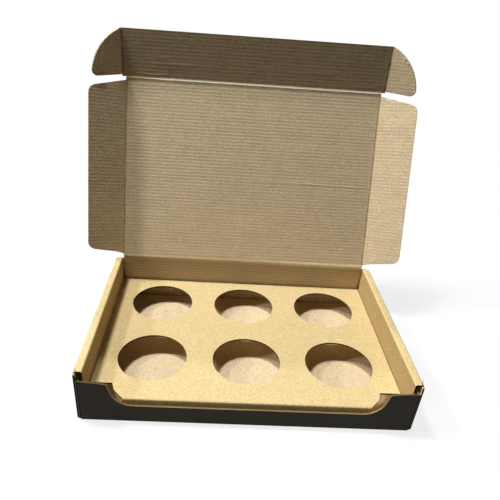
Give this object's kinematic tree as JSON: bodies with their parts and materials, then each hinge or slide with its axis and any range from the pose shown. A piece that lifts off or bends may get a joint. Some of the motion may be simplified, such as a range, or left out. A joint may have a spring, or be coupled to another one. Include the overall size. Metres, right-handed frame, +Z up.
{
  "type": "candle tin gift box",
  "caption": "Low corrugated mailer box with rolled side walls, a notched front, an open tuck lid with side flaps and ears, and a platform insert with round holes that hold candle tins.",
  "frame": {"origin": "middle of the base's underside, on the surface the box stands on", "axes": "+X to the right along the front, +Y to the back fold, +Z up"},
  "size_m": [0.335, 0.2543, 0.2727],
  "materials": {
    "printed_board": "bare kraft inside, matte near-black print outside",
    "kraft_board": "bare kraft, matte"
  },
  "bodies": {
    "tray": {"tray": "printed_board", "tin_insert": "kraft_board"},
    "lid": {"lid_panel": "printed_board"},
    "right_flap": {"right_side_flap": "printed_board"},
    "left_flap": {"left_side_flap": "printed_board"},
    "tuck": {"tuck_flap": "printed_board"},
    "right_ear": {"right_ear": "printed_board"},
    "left_ear": {"left_ear": "printed_board"}
  },
  "joints": [
    {"name": "lid_hinge", "type": "hinge", "parent": "tray", "child": "lid", "pos_m": [0, 0.0942, 0.0504], "axis": [-1, 0, 0], "range_deg": [-71, 70.7]},
    {"name": "right_flap_hinge", "type": "hinge", "parent": "lid", "child": "right_flap", "pos_m": [0.1329, 0.0942, 0.0504], "axis": [0, 0.3305, 0.9438], "range_deg": [-60, 30]},
    {"name": "left_flap_hinge", "type": "hinge", "parent": "lid", "child": "left_flap", "pos_m": [-0.1329, 0.0942, 0.0504], "axis": [0, -0.3305, -0.9438], "range_deg": [-60, 30]},
    {"name": "tuck_hinge", "type": "hinge", "parent": "lid", "child": "tuck", "pos_m": [0, 0.15584, 0.22642], "axis": [-1, 0, 0], "range_deg": [-74, 16]},
    {"name": "right_ear_hinge", "type": "hinge", "parent": "tuck", "child": "right_ear", "pos_m": [0.13665, 0.15584, 0.22642], "axis": [0, 0.0576, 0.9983], "range_deg": [-70, 20]},
    {"name": "left_ear_hinge", "type": "hinge", "parent": "tuck", "child": "left_ear", "pos_m": [-0.13665, 0.15584, 0.22642], "axis": [0, -0.0576, -0.9983], "range_deg": [-70, 20]}
  ]
}
